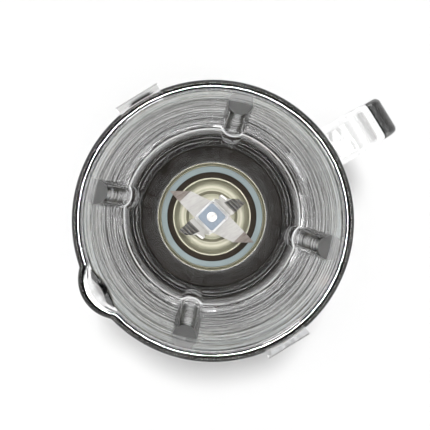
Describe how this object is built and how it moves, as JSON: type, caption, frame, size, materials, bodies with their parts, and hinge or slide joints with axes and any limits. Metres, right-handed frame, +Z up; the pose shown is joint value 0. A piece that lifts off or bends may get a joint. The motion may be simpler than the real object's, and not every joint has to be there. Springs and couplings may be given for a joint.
{
  "type": "countertop blender",
  "caption": "Countertop blender with a clear open jug with spout, side handle and inner ribs, a four-wing blade unit, and a round motor base with knob and buttons.",
  "frame": {"origin": "on the jug and motor axis, level with the underside of the foot ring", "axes": "+Z up along the jug and motor axis, +X towards the handle, -X towards the spout, -Y towards the controls, +Y towards the cord gland"},
  "size_m": [0.1956, 0.1781, 0.39],
  "materials": {
    "housing_steel": "brushed stainless steel",
    "deck_plastic": "silver-grey moulded",
    "black_nylon": "fine matt moulded",
    "black_rubber": "matt moulded rubber",
    "lamination": "stacked electrical steel",
    "copper_wire": "enamelled copper wire",
    "cast_aluminium": "die cast",
    "bronze": "sintered bronze",
    "screw_steel": "zinc plated",
    "brush_brass": "stamped brass",
    "carbon": "carbon block",
    "shaft_steel": "ground steel",
    "panel_plastic": "gloss black",
    "board": "solder mask",
    "components": "moulded",
    "switch_plastic": "moulded",
    "lens_red": "clear red",
    "reed_glass": "glass tube",
    "lead_red": "PVC insulation",
    "clear_jug": "clear pressed glass, polished",
    "black_carrier": "satin moulded",
    "polished_steel": "polished stainless steel",
    "grey_seal": "smooth silicone",
    "magnet": "nickel plated",
    "blade_steel": "ground stainless steel",
    "plate_steel": "blue-grey rolled steel",
    "commutator_copper": "turned copper",
    "fan_plastic": "natural nylon",
    "coupler_metal": "sintered",
    "knob_silver": "satin silver lacquer",
    "button_silver": "satin silver lacquer"
  },
  "bodies": {
    "base": {"housing_shell": "housing_steel", "top_deck": "deck_plastic", "bottom_cover": "black_nylon", "foot_ring": "black_rubber", "cord_gland": "black_rubber", "stator_core": "lamination", "field_coils": "copper_wire", "upper_bracket": "cast_aluminium", "lower_bracket": "cast_aluminium", "motor_bearings": "bronze", "motor_bolts": "screw_steel", "brush_holders": "brush_brass", "carbon_brushes": "carbon", "brush_springs": "shaft_steel", "isolator_grommets": "black_rubber", "mount_screws": "screw_steel", "cover_screws": "screw_steel", "control_panel": "panel_plastic", "control_board": "board", "board_components": "components", "speed_switch": "switch_plastic", "button_switches": "switch_plastic", "indicator_lens": "lens_red", "reed_switch": "reed_glass", "motor_leads": "lead_red"},
    "jug": {"jug": "clear_jug", "jug_collar": "black_nylon", "blade_carrier": "black_carrier", "carrier_dish": "polished_steel", "carrier_gasket": "grey_seal", "seal_retainer": "polished_steel", "bearing_housing": "polished_steel", "shaft_bushes": "bronze", "shaft_seal": "black_rubber", "interlock_magnet": "magnet"},
    "blades": {"blade_shaft": "shaft_steel", "long_blade": "blade_steel", "serrated_blade": "blade_steel", "hub_plate": "plate_steel", "jug_coupler": "switch_plastic"},
    "rotor": {"motor_shaft": "shaft_steel", "armature_core": "lamination", "armature_windings": "copper_wire", "commutator": "commutator_copper", "motor_fan": "fan_plastic", "drive_coupler": "coupler_metal"},
    "speed_knob": {"speed_knob": "knob_silver"},
    "pulse_button": {"pulse_button": "button_silver"},
    "ice_button": {"ice_button": "button_silver"}
  },
  "joints": [
    {"name": "jug_lift", "type": "slide", "parent": "base", "child": "jug", "axis": [0, 0, 1], "range_m": [0, 0.08]},
    {"name": "motor_spin", "type": "hinge", "parent": "base", "child": "rotor", "pos_m": [0, 0, 0.1], "axis": [0, 0, 1], "continuous": true},
    {"name": "blade_spin", "type": "hinge", "parent": "jug", "child": "blades", "pos_m": [0, 0, 0.19], "axis": [0, 0, 1], "continuous": true},
    {"name": "knob_turn", "type": "hinge", "parent": "base", "child": "speed_knob", "pos_m": [0, -0.07632, 0.09335], "axis": [0, 0.9939, -0.1104], "range_deg": [0, 225]},
    {"name": "pulse_press", "type": "slide", "parent": "base", "child": "pulse_button", "axis": [0, 0.9939, -0.1104], "range_m": [0, 0.0025], "stiffness_N_per_m": 600, "springref_m": -0.002},
    {"name": "ice_press", "type": "slide", "parent": "base", "child": "ice_button", "axis": [0, 0.9939, -0.1104], "range_m": [0, 0.0025], "stiffness_N_per_m": 600, "springref_m": -0.002}
  ],
  "couplings": [
    {"joint": "blade_spin", "follows": "motor_spin", "ratio": 1}
  ]
}
